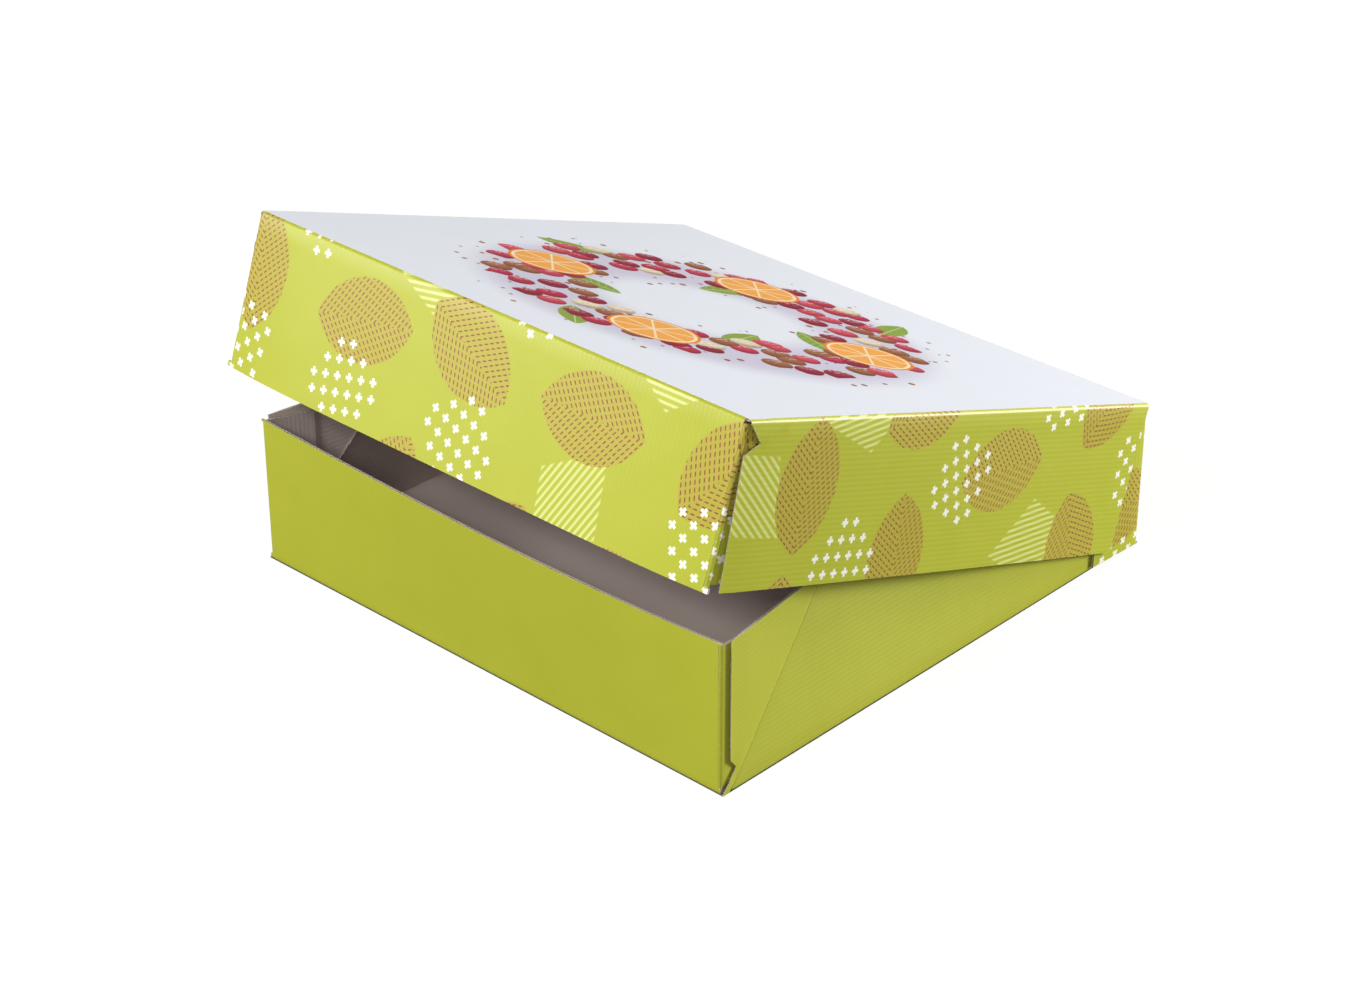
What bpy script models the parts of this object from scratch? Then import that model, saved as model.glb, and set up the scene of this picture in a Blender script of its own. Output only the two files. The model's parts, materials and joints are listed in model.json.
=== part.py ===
# Pastry box with a hinged, overlapping lid, cut as one blank of thin fluted board, creased
# into panels and glued at six corners. The lid stands ajar.
# Metres, +Z up. The origin is the centre of the tray's underside, the front faces -Y, and
# the lid turns on the crease along the top of the rear wall.

import math

import bmesh
import bpy

# Tray, outside sizes
BOX_WIDTH = 0.250
BOX_DEPTH = 0.250
WALL_HEIGHT = 0.064

# Lid
SKIRT_HEIGHT = 0.063
SKIRT_SIDE_CLEARANCE = 0.0004
SKIRT_FRONT_CLEARANCE = 0.0045
LID_OPEN_ANGLE = math.radians(19.5)

# Board, creases and glue
BOARD_THICKNESS = 0.0010
CREASE_GAP = 0.0003
HINGE_GAP = 0.0004
GLUE_THICKNESS = 0.0002
GLUE_SKIN_GAP = 0.0001
GLUE_LINE_WIDTH = 0.010
GLUE_END_MARGIN = 0.004

# Side wall's front end: cut edge behind the corner, relief notch and folding diagonal
SEAM_SETBACK = 0.0043
NOTCH_DEPTH = 0.0078
NOTCH_TIP_HEIGHT = 0.0092
NOTCH_TOP_HEIGHT = 0.0135
DIAGONAL_FOOT = 0.0040
DIAGONAL_HEAD = 0.0635

# Side skirt's front end
SKIRT_SEAM_SETBACK = 0.0014
SKIRT_NOTCH_DEPTH = 0.0090
SKIRT_NOTCH_TIP_DROP = 0.0087
SKIRT_NOTCH_END_DROP = 0.0130

# Glue flaps, from the corner they fold round
FRONT_FLAP_WIDTH = 0.024
FRONT_FLAP_FOOT_HEIGHT = 0.0028
FRONT_FLAP_CREASE_CLEARANCE = 0.003
REAR_FLAP_WIDTH = 0.030
REAR_FLAP_FOOT_HEIGHT = 0.0006
REAR_FLAP_FOOT_TAPER = 0.0012
LID_FLAP_WIDTH = 0.024
LID_FLAP_DROP = 0.0018
LID_FLAP_HEM = 0.002
FLAP_TOP_DROP = 0.0008
FLAP_TAPER = 0.004

CREASE_ROLL_SIDES = 12

# Faces worked out from the sizes above
half_width = BOX_WIDTH / 2
half_depth = BOX_DEPTH / 2
half_board = BOARD_THICKNESS / 2
glue_space = GLUE_THICKNESS + 2 * GLUE_SKIN_GAP
crease_inset = BOARD_THICKNESS + CREASE_GAP
flap_pitch = BOARD_THICKNESS + glue_space

front_flap_face = half_width - flap_pitch
rear_flap_face = half_width + flap_pitch
lid_half_width = rear_flap_face + SKIRT_SIDE_CLEARANCE + BOARD_THICKNESS
lid_flap_face = lid_half_width - flap_pitch

hinge_setback = half_board + HINGE_GAP
hinge_y = half_depth - half_board
hinge_z = WALL_HEIGHT + hinge_setback
lid_reach = hinge_y + half_depth + SKIRT_FRONT_CLEARANCE + BOARD_THICKNESS

diagonal_slope = WALL_HEIGHT / (DIAGONAL_HEAD - DIAGONAL_FOOT)
diagonal_gap = CREASE_GAP / math.sin(math.atan(diagonal_slope))

# Turns of a flat outline: lying, standing across the box, standing along the box
LYING = (0, 0, 0)
ACROSS = (math.pi / 2, 0, 0)
ALONG = (math.pi / 2, 0, math.pi / 2)

SIDES = {"left": -1, "right": 1}


def clear_scene():
    for scene_object in list(bpy.data.objects):
        bpy.data.objects.remove(scene_object, do_unlink=True)


def make_collection(name):
    collection = bpy.data.collections.new(name)
    bpy.context.scene.collection.children.link(collection)
    return collection


def make_material(name, colour, roughness):
    material = bpy.data.materials.new(name)
    material.use_nodes = True
    shader = material.node_tree.nodes["Principled BSDF"]
    shader.inputs["Base Color"].default_value = (*colour, 1)
    shader.inputs["Roughness"].default_value = roughness
    shader.inputs["Metallic"].default_value = 0
    return material


def place(part, material, location, turn, parent):
    part.data.materials.append(material)
    part.location = location
    part.rotation_euler = turn
    part.parent = parent
    box_parts.objects.link(part)
    return part


def flat_piece(name, outline, thickness, material, location, turn, parent=None):
    # outline runs anticlockwise in the piece's own plane, whose middle lies at location
    curve = bpy.data.curves.new(name, "CURVE")
    curve.dimensions = "2D"
    curve.fill_mode = "BOTH"
    curve.extrude = thickness / 2
    spline = curve.splines.new("POLY")
    spline.points.add(len(outline) - 1)
    for point, (along, up) in zip(spline.points, outline):
        point.co = (along, up, 0, 1)
    spline.use_cyclic_u = True
    piece = bpy.data.objects.new(name, curve)
    return place(piece, material, location, turn, parent)


def rectangle(low_along, high_along, low_up, high_up):
    return [
        (low_along, low_up),
        (high_along, low_up),
        (high_along, high_up),
        (low_along, high_up),
    ]


def diagonal_height(behind_corner):
    return (behind_corner - DIAGONAL_FOOT) * diagonal_slope


def make_bottom_panel():
    across = half_width - crease_inset
    along = half_depth - crease_inset
    outline = rectangle(-across, across, -along, along)
    flat_piece("bottom_panel", outline, BOARD_THICKNESS, kraft_lime, (0, 0, half_board), LYING)


def make_front_wall():
    outline = rectangle(-front_flap_face, front_flap_face, 0, WALL_HEIGHT)
    location = (0, half_board - half_depth, 0)
    flat_piece("front_wall", outline, BOARD_THICKNESS, plain_lime, location, ACROSS)


def make_rear_wall():
    outline = rectangle(-rear_flap_face, rear_flap_face, 0, WALL_HEIGHT)
    location = (0, half_depth - half_board, 0)
    flat_piece("rear_wall", outline, BOARD_THICKNESS, printed_lime, location, ACROSS)


def make_side_wall(side, sign):
    # main panel behind the folding diagonal
    rear_end = BOX_DEPTH - crease_inset
    outline = [
        (DIAGONAL_FOOT + diagonal_gap, 0),
        (rear_end, 0),
        (rear_end, WALL_HEIGHT),
        (DIAGONAL_HEAD + diagonal_gap, WALL_HEIGHT),
    ]
    location = (sign * (half_width - half_board), -half_depth, 0)
    name = "side_wall_" + side
    flat_piece(name, outline, BOARD_THICKNESS, plain_lime, location, ALONG)


def make_corner_gusset(side, sign):
    # triangle before the diagonal, with its cut edge and relief notch round the glued corner
    outline = [
        (0, 0),
        (DIAGONAL_FOOT, 0),
        (DIAGONAL_HEAD, WALL_HEIGHT),
        (SEAM_SETBACK, WALL_HEIGHT),
        (SEAM_SETBACK, NOTCH_TOP_HEIGHT),
        (NOTCH_DEPTH, NOTCH_TIP_HEIGHT),
    ]
    location = (sign * (half_width - half_board), -half_depth, 0)
    name = "corner_gusset_" + side
    flat_piece(name, outline, BOARD_THICKNESS, plain_lime, location, ALONG)


def make_front_flap(side, sign):
    # folded back from the front wall and glued inside the gusset
    near = crease_inset
    far = FRONT_FLAP_WIDTH
    far_low = diagonal_height(far) + FRONT_FLAP_CREASE_CLEARANCE
    far_high = WALL_HEIGHT - FLAP_TAPER
    outline = [
        (near, FRONT_FLAP_FOOT_HEIGHT),
        (far, far_low),
        (far, far_high),
        (near, WALL_HEIGHT - FLAP_TOP_DROP),
    ]
    location = (sign * (front_flap_face - half_board), -half_depth, 0)
    flat_piece("front_flap_" + side, outline, BOARD_THICKNESS, plain_lime, location, ALONG)

    glue_x = half_width - BOARD_THICKNESS - glue_space / 2
    corner = (sign * glue_x, -half_depth, 0)
    make_glue_line("front_glue_" + side, near, far, far_low, far_high - GLUE_END_MARGIN, corner)


def make_rear_flap(side, sign):
    # folded forward from the rear wall and glued outside the side wall
    near = BOX_DEPTH - crease_inset
    far = BOX_DEPTH - REAR_FLAP_WIDTH
    far_low = REAR_FLAP_FOOT_HEIGHT + REAR_FLAP_FOOT_TAPER
    far_high = WALL_HEIGHT - FLAP_TAPER
    outline = [
        (far, far_low),
        (near, REAR_FLAP_FOOT_HEIGHT),
        (near, WALL_HEIGHT - FLAP_TOP_DROP),
        (far, far_high),
    ]
    location = (sign * (rear_flap_face - half_board), -half_depth, 0)
    flat_piece("rear_flap_" + side, outline, BOARD_THICKNESS, printed_lime, location, ALONG)

    glue_x = half_width + glue_space / 2
    glue_low = far_low + GLUE_END_MARGIN
    glue_high = far_high - GLUE_END_MARGIN
    corner = (sign * glue_x, -half_depth, 0)
    make_glue_line("rear_glue_" + side, far, near, glue_low, glue_high, corner)


def make_glue_line(name, near, far, low, high, corner, parent=None):
    # upright strip half way along the flap
    middle = (near + far) / 2
    half_line = GLUE_LINE_WIDTH / 2
    outline = rectangle(middle - half_line, middle + half_line, low, high)
    flat_piece(name, outline, GLUE_THICKNESS, dried_glue, corner, ALONG, parent)


def make_hinge_crease():
    # the crushed line of board that carries the lid
    mesh = bpy.data.meshes.new("lid_hinge_crease")
    shape = bmesh.new()
    bmesh.ops.create_cone(
        shape,
        cap_ends=True,
        segments=CREASE_ROLL_SIDES,
        radius1=half_board,
        radius2=half_board,
        depth=2 * rear_flap_face,
    )
    shape.to_mesh(mesh)
    shape.free()
    mesh.shade_smooth()
    mesh.set_sharp_from_angle(angle=math.radians(60))
    roll = bpy.data.objects.new("lid_hinge_crease", mesh)
    place(roll, printed_lime, (0, hinge_y, hinge_z), (0, math.pi / 2, 0), None)


def make_lid_axis():
    axis = bpy.data.objects.new("lid_axis", None)
    axis.location = (0, hinge_y, hinge_z)
    axis.rotation_euler = (-LID_OPEN_ANGLE, 0, 0)
    axis.empty_display_size = SKIRT_HEIGHT
    box_parts.objects.link(axis)
    return axis


def make_lid_panel(axis):
    across = lid_half_width - crease_inset
    outline = rectangle(-across, across, crease_inset - lid_reach, -hinge_setback)
    flat_piece("lid_panel", outline, BOARD_THICKNESS, lid_white, (0, 0, 0), LYING, axis)


def make_lid_front_skirt(axis):
    outline = rectangle(-lid_flap_face, lid_flap_face, -SKIRT_HEIGHT, 0)
    location = (0, half_board - lid_reach, half_board)
    flat_piece("lid_front_skirt", outline, BOARD_THICKNESS, printed_lime, location, ACROSS, axis)


def make_lid_side_skirt(side, sign, axis):
    rear_end = lid_reach - hinge_setback
    outline = [
        (SKIRT_SEAM_SETBACK, -SKIRT_HEIGHT),
        (rear_end, -SKIRT_HEIGHT),
        (rear_end, 0),
        (0, 0),
        (SKIRT_NOTCH_DEPTH, -SKIRT_NOTCH_TIP_DROP),
        (SKIRT_SEAM_SETBACK, -SKIRT_NOTCH_END_DROP),
    ]
    location = (sign * (lid_half_width - half_board), -lid_reach, half_board)
    name = "lid_side_skirt_" + side
    flat_piece(name, outline, BOARD_THICKNESS, printed_lime, location, ALONG, axis)


def make_lid_flap(side, sign, axis):
    # folded back from the front skirt and glued inside the side skirt
    near = crease_inset
    far = LID_FLAP_WIDTH
    low = LID_FLAP_HEM - SKIRT_HEIGHT
    far_low = low + FLAP_TAPER
    far_high = -LID_FLAP_DROP - FLAP_TAPER
    outline = [
        (near, low),
        (far, far_low),
        (far, far_high),
        (near, -LID_FLAP_DROP),
    ]
    location = (sign * (lid_flap_face - half_board), -lid_reach, half_board)
    flat_piece("lid_flap_" + side, outline, BOARD_THICKNESS, printed_lime, location, ALONG, axis)

    glue_x = lid_half_width - BOARD_THICKNESS - glue_space / 2
    glue_low = far_low + GLUE_END_MARGIN
    glue_high = far_high - GLUE_END_MARGIN
    corner = (sign * glue_x, -lid_reach, half_board)
    make_glue_line("lid_glue_" + side, near, far, glue_low, glue_high, corner, axis)


clear_scene()
box_parts = make_collection("pastry_box")
plain_lime = make_material("plain lime board", (0.490, 0.520, 0.060), 0.55)
printed_lime = make_material("printed lime board", (0.560, 0.600, 0.090), 0.45)
kraft_lime = make_material("lime outside, taupe inside", (0.170, 0.122, 0.115), 0.60)
lid_white = make_material("white printed board", (0.870, 0.900, 0.950), 0.40)
dried_glue = make_material("dried white glue", (0.780, 0.760, 0.680), 0.35)

make_bottom_panel()
make_front_wall()
make_rear_wall()
make_hinge_crease()
lid_axis = make_lid_axis()
make_lid_panel(lid_axis)
make_lid_front_skirt(lid_axis)
for side_name, side_sign in SIDES.items():
    make_side_wall(side_name, side_sign)
    make_corner_gusset(side_name, side_sign)
    make_front_flap(side_name, side_sign)
    make_rear_flap(side_name, side_sign)
    make_lid_side_skirt(side_name, side_sign, lid_axis)
    make_lid_flap(side_name, side_sign, lid_axis)
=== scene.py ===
# A pastry box of thin fluted board, lime print outside and a taupe liner inside, lid ajar.
import json
import math

import bpy
from mathutils import Matrix, Vector


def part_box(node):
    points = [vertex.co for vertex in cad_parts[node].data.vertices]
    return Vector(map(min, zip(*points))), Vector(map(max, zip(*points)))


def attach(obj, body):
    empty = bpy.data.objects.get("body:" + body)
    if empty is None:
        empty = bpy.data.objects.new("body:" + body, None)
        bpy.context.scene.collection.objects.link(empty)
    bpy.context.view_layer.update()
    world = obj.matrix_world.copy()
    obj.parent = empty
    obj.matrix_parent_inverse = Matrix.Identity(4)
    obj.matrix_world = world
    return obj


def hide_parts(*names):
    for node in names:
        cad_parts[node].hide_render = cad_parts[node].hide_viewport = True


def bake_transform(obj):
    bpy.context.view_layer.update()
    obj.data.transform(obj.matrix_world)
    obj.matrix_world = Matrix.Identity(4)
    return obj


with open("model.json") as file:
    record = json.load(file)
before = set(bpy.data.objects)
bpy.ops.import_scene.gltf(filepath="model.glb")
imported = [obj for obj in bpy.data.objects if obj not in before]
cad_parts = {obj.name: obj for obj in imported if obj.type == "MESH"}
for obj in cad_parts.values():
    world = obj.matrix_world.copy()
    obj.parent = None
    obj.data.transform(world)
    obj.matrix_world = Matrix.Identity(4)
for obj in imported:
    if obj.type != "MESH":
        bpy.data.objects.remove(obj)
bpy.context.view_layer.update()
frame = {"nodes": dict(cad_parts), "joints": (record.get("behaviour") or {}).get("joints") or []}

mm = 0.001
touching = 1e-6  # metres, points this close are one
hinge = Vector(frame["joints"][0]["pos_m"])
lidTilt = math.radians(frame["joints"][0]["range_deg"][0])  # the front of the lid is up

# turns that stand a sheet up from lying with its printed side on top
lying = (0, 0, 0)
faceDown = (math.pi, 0, 0)
faceFront = (math.pi / 2, 0, 0)
faceRear = (math.pi / 2, 0, math.pi)
faceRight = (math.pi / 2, 0, math.pi / 2)

board = {
    "thickness": 1.0 * mm,
    "foldRadius": 0.9 * mm,  # of the board's middle
    "foldSteps": 4,
    "cell": 6 * mm,  # fine enough to bow smoothly
    "flutePitch": 2.0 * mm,
    "crushed": 0.4,  # share of the thickness left along a crushed cut
    "crushWidth": 1.3 * mm,
    "smoothAngle": math.radians(40),
}


# Materials

def hexColour(code):
    # sRGB hex to the linear values that Blender's sockets want
    parts = [int(code[place:place + 2], 16) / 255 for place in (1, 3, 5)]
    linear = [part / 12.92 if part <= 0.04045 else ((part + 0.055) / 1.055) ** 2.4 for part in parts]
    return (*linear, 1)


def addNode(tree, kind, settings=(), inputs=()):
    # an input may be a value, a hex colour, a socket, or a node for its first output
    node = tree.nodes.new("ShaderNode" + kind)
    for name, value in dict(settings).items():
        setattr(node, name, value)
    for name, value in dict(inputs).items():
        if isinstance(value, bpy.types.Node):
            value = value.outputs[0]
        if isinstance(value, str):
            value = hexColour(value)
        if isinstance(value, bpy.types.NodeSocket):
            tree.links.new(value, node.inputs[name])
        else:
            node.inputs[name].default_value = value
    return node


def newMaterial(name, settings):
    material = bpy.data.materials.new(name)
    material.use_nodes = True
    tree = material.node_tree
    shader = tree.nodes["Principled BSDF"]
    for socket, value in settings.items():
        shader.inputs[socket].default_value = value
    return material, tree, shader


def blankPlace(tree):
    # place on the unfolded blank in millimetres, x across the flutes
    flat = addNode(tree, "UVMap", {"uv_map": "blank"})
    return addNode(tree, "VectorMath", {"operation": "SCALE"}, {0: flat, "Scale": 1 / mm})


def printOver(tree, cover, ground, ink):
    # lays an ink over what is there already, as far as the cover goes
    mix = addNode(tree, "Mix", {"data_type": "RGBA"}, {0: cover, 6: ground, 7: ink})
    return mix.outputs[2]


def overlap(tree, first, second):
    return addNode(tree, "Math", {"operation": "MULTIPLY"}, {0: first, 1: second})


def grade(tree, value, band, ends):
    # goes from the first end to the last while the value crosses the band
    return addNode(tree, "MapRange", {}, {0: value, 1: band[0], 2: band[1], 3: ends[0], 4: ends[1]})


def softStep(tree, value, edge, softness):
    # 1 below the edge, 0 above it
    return grade(tree, value, (edge - softness, edge + softness), (1.0, 0.0))


def fluteWave(tree, place):
    # height of the fluting at a place, from -1 to 1
    across = addNode(tree, "SeparateXYZ", {}, {0: place})
    turns = 2 * math.pi * mm / board["flutePitch"]
    phase = addNode(tree, "Math", {"operation": "MULTIPLY"}, {0: across, 1: turns})
    return addNode(tree, "Math", {"operation": "SINE"}, {0: phase})


def fluteRelief(tree, place, shader, relief):
    # washboard of the flutes under the liner, with the paper's own unevenness
    uneven = addNode(tree, "TexNoise", {}, {"Vector": place, "Scale": 1 / relief["mottle"], "Detail": 3})
    fibre = addNode(tree, "TexNoise", {}, {"Vector": place, "Scale": 1 / relief["fibre"], "Detail": 2})
    ridges = addNode(tree, "Bump", {}, {"Height": fluteWave(tree, place), "Distance": relief["ridgeDepth"]})
    swell = addNode(tree, "Bump", {}, {
        "Height": uneven, "Distance": relief["swellDepth"], "Normal": ridges})
    grain = addNode(tree, "Bump", {}, {
        "Height": fibre, "Distance": relief["grainDepth"], "Normal": swell})
    tree.links.new(grain.outputs[0], shader.inputs["Normal"])
    return uneven, fibre


limePrint = {
    # the limes' blue is raised a little: painted sheen, whitening the ink as a satin reflection would
    "lime": "#b6ba36",
    "limeDeep": "#aeb32e",
    "crack": "#dedd94",
    "finish": (0.42, 0.55),  # roughness, from sound print to worn print
    "ridgeDepth": 0.012 * mm,
    "swellDepth": 0.12 * mm,
    "grainDepth": 0.004 * mm,
    "mottle": 24.0,  # millimetres
    "fibre": 0.7,  # drawn coarser than real fibres, which would not show
    "flakesPerMm": 0.9,
    "flakeBand": (0.58, 0.74),
    "wearReach": 0.14,  # share of the way in from a fold or cut
    "wearMost": 0.5,
}
# the same lime ink on the tray, set a little lighter than the lid's: painted light on the tray and painted
# shade on the lid, evening out how they are lit
plainPrint = dict(limePrint, lime="#b8bb38", limeDeep="#b0b430", finish=(0.5, 0.62))
noiseBand = (0.3, 0.7)  # where a noise's values mostly lie
sharp = 0.001  # softness of an edge that keeps or drops whole motifs


def limeGround(tree, place, shader, colours):
    # ink laid on the liner: slightly uneven, cracked pale along folds and cuts
    uneven = fluteRelief(tree, place, shader, colours)[0]
    ground = printOver(tree, uneven, colours["lime"], colours["limeDeep"])
    inner = addNode(tree, "Attribute", {"attribute_name": "inner"}).outputs["Fac"]
    chipped = addNode(tree, "TexNoise", {}, {"Vector": place, "Scale": colours["flakesPerMm"], "Detail": 4})
    reach = grade(tree, inner, (0.0, colours["wearReach"]), (colours["wearMost"], 0.0))
    return ground, overlap(tree, reach, grade(tree, chipped, colours["flakeBand"], (0.0, 1.0)))


def setRoughness(tree, shader, amount, finish):
    tree.links.new(grade(tree, amount, noiseBand, finish).outputs[0], shader.inputs["Roughness"])


def plainLimeBoard():
    # offset-printed board, water-based varnish: an even matt lime with a soft sheen
    material, tree, shader = newMaterial("offset_printed_lime_board", {"IOR": 1.48})
    place = blankPlace(tree)
    ground, worn = limeGround(tree, place, shader, plainPrint)
    colour = printOver(tree, worn, ground, limePrint["crack"])
    tree.links.new(colour, shader.inputs["Base Color"])
    setRoughness(tree, shader, worn, plainPrint["finish"])
    return material


leafPrint = {
    "ochre": "#b8ad40",
    "ochreDeep": "#b0a436",
    "vein": "#8f4c2c",
    "white": "#f1f1e3",
    "hatch": "#d4da82",
    "cell": 61.0,  # millimetres, one leaf in each
    "wander": 0.1,
    "leafLength": 51.0,
    "leafWidth": 33.0,
    "veinPitch": 2.5,
    "veinHalf": 0.36,
    "veinSlant": 0.75,
    "dashPitch": 2.2,
    "dashHalf": 0.31,  # share of the pitch
    "dashShift": 0.37,  # share of the pitch from one vein to the next
    "crossCell": 6.4,
    "crossArm": 1.75,
    "crossHalf": 0.62,
    "crossPatch": (25.0, 20.0),
    "hatchPitch": 2.5,
    "hatchHalf": 0.22,  # share of the pitch
    "hatchPatch": (26.0, 18.0),
    "inkEdge": 0.12,  # fades over this much
}


def scatterCells(tree, place, offset):
    # one motif in each cell of a staggered lattice, moved and turned at random
    cell, wander = leafPrint["cell"], leafPrint["wander"]
    moved = addNode(tree, "Mapping", {"vector_type": "TEXTURE"}, {
        "Vector": place, "Location": (*offset, 0), "Scale": (cell, cell, cell)})
    axes = addNode(tree, "SeparateXYZ", {}, {0: moved})
    row = addNode(tree, "Math", {"operation": "FLOOR"}, {0: axes.outputs[1]})
    stagger = addNode(tree, "Math", {"operation": "MULTIPLY_ADD"}, {0: row, 1: 0.5, 2: axes.outputs[0]})
    shifted = addNode(tree, "CombineXYZ", {}, {0: stagger, 1: axes.outputs[1]})
    corner = addNode(tree, "VectorMath", {"operation": "FLOOR"}, {0: shifted})
    chance = addNode(tree, "TexWhiteNoise", {"noise_dimensions": "2D"}, {0: corner})
    inCell = addNode(tree, "VectorMath", {"operation": "SUBTRACT"}, {0: shifted, 1: corner})
    centre = addNode(tree, "VectorMath", {"operation": "MULTIPLY_ADD"}, {
        0: chance.outputs[1], 1: (wander, wander, 0), 2: (0.5 - wander / 2, 0.5 - wander / 2, 0)})
    around = addNode(tree, "VectorMath", {"operation": "SUBTRACT"}, {0: inCell, 1: centre})
    sized = addNode(tree, "VectorMath", {"operation": "SCALE"}, {0: around, "Scale": cell})
    angle = addNode(tree, "Math", {"operation": "MULTIPLY"}, {0: chance.outputs[0], 1: 2 * math.pi})
    turned = addNode(tree, "VectorRotate", {"rotation_type": "Z_AXIS"}, {
        "Vector": sized, "Angle": angle})
    return turned, chance.outputs[1]


def drawLeaf(tree, place, length, width):
    # a pointed oval where two large discs overlap
    bow = (length ** 2 + width ** 2) / (4 * width)
    axes = addNode(tree, "SeparateXYZ", {}, {0: place})
    aside = addNode(tree, "Math", {"operation": "ABSOLUTE"}, {0: axes.outputs[1]})
    beyond = addNode(tree, "Math", {"operation": "ADD"}, {0: aside, 1: bow - width / 2})
    fromDisc = addNode(tree, "CombineXYZ", {}, {0: axes.outputs[0], 1: beyond})
    reach = addNode(tree, "VectorMath", {"operation": "LENGTH"}, {0: fromDisc}).outputs["Value"]
    return softStep(tree, reach, bow, 0.15), axes.outputs[0], aside


def drawDashes(tree, along, aside):
    # short strokes along slanting side veins
    pitch, dash, inkEdge = leafPrint["veinPitch"], leafPrint["dashPitch"], leafPrint["inkEdge"]
    slant = addNode(tree, "Math", {"operation": "MULTIPLY_ADD"}, {
        0: aside, 1: -leafPrint["veinSlant"], 2: along})
    vein = addNode(tree, "Math", {"operation": "PINGPONG"}, {0: slant, 1: pitch / 2})
    row = addNode(tree, "Math", {"operation": "DIVIDE"}, {0: slant, 1: pitch})
    whole = addNode(tree, "Math", {"operation": "ROUND"}, {0: row})
    shift = addNode(tree, "Math", {"operation": "MULTIPLY_ADD"}, {
        0: whole, 1: leafPrint["dashShift"] * dash, 2: aside})
    beat = addNode(tree, "Math", {"operation": "PINGPONG"}, {0: shift, 1: dash / 2})
    onVein = softStep(tree, vein, leafPrint["veinHalf"], inkEdge)
    return overlap(tree, onVein, softStep(tree, beat, dash * leafPrint["dashHalf"], inkEdge))


def drawCrosses(tree, place):
    # a lattice of small plus signs, with the place of each one's own centre
    cell, inkEdge = leafPrint["crossCell"], leafPrint["inkEdge"]
    low = addNode(tree, "VectorMath", {"operation": "SNAP"}, {0: place, 1: (cell, cell, cell)})
    centre = addNode(tree, "VectorMath", {"operation": "ADD"}, {0: low, 1: (cell / 2, cell / 2, 0)})
    around = addNode(tree, "VectorMath", {"operation": "SUBTRACT"}, {0: place, 1: centre})
    size = addNode(tree, "VectorMath", {"operation": "ABSOLUTE"}, {0: around})
    axes = addNode(tree, "SeparateXYZ", {}, {0: size})
    longest = addNode(tree, "Math", {"operation": "MAXIMUM"}, {0: axes.outputs[0], 1: axes.outputs[1]})
    shortest = addNode(tree, "Math", {"operation": "MINIMUM"}, {0: axes.outputs[0], 1: axes.outputs[1]})
    inArm = softStep(tree, longest, leafPrint["crossArm"], inkEdge)
    inBar = softStep(tree, shortest, leafPrint["crossHalf"], inkEdge)
    return overlap(tree, inArm, inBar), centre


def drawLozenge(tree, place, halves, softness):
    size = addNode(tree, "VectorMath", {"operation": "ABSOLUTE"}, {0: place})
    share = addNode(tree, "VectorMath", {"operation": "DOT_PRODUCT"}, {
        0: size, 1: (1 / halves[0], 1 / halves[1], 0)}).outputs["Value"]
    return softStep(tree, share, 1.0, softness)


def printedLimeBoard():
    # the same board with the two-colour pattern over the lime: matt inks, satin varnish
    material, tree, shader = newMaterial("pattern_printed_lime_board", {"IOR": 1.48})
    place = blankPlace(tree)
    ground, worn = limeGround(tree, place, shader, limePrint)
    cell, pitch = leafPrint["cell"], leafPrint["hatchPitch"]

    patch, patchChance = scatterCells(tree, place, (cell / 2, cell / 2))
    pick = addNode(tree, "SeparateColor", {}, {0: patchChance})
    hatched = drawLozenge(tree, patch, leafPrint["hatchPatch"], 0.02)
    lines = addNode(tree, "Math", {"operation": "PINGPONG"}, {
        0: addNode(tree, "SeparateXYZ", {}, {0: patch}).outputs[1], 1: pitch / 2})
    stripes = softStep(tree, lines, pitch * leafPrint["hatchHalf"], leafPrint["inkEdge"])
    isHatch = addNode(tree, "Math", {"operation": "LESS_THAN"}, {0: pick.outputs[1], 1: 0.5})
    hatch = overlap(tree, overlap(tree, hatched, stripes), isHatch)
    colour = printOver(tree, hatch, ground, leafPrint["hatch"])

    leafPlace, leafChance = scatterCells(tree, place, (0, 0))
    leaf, along, aside = drawLeaf(tree, leafPlace, leafPrint["leafLength"], leafPrint["leafWidth"])
    dashes = drawDashes(tree, along, aside)
    tone = addNode(tree, "SeparateColor", {}, {0: leafChance}).outputs[2]
    ochre = printOver(tree, tone, leafPrint["ochre"], leafPrint["ochreDeep"])
    filled = printOver(tree, dashes, ochre, leafPrint["vein"])
    colour = printOver(tree, leaf, colour, filled)

    cross, centre = drawCrosses(tree, patch)
    crossed = drawLozenge(tree, centre, leafPrint["crossPatch"], sharp)
    isCross = addNode(tree, "Math", {"operation": "SUBTRACT"}, {0: 1.0, 1: isHatch})
    crosses = overlap(tree, overlap(tree, cross, crossed), isCross)
    colour = printOver(tree, crosses, colour, leafPrint["white"])

    colour = printOver(tree, worn, colour, limePrint["crack"])
    tree.links.new(colour, shader.inputs["Base Color"])
    setRoughness(tree, shader, worn, limePrint["finish"])
    return material


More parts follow.
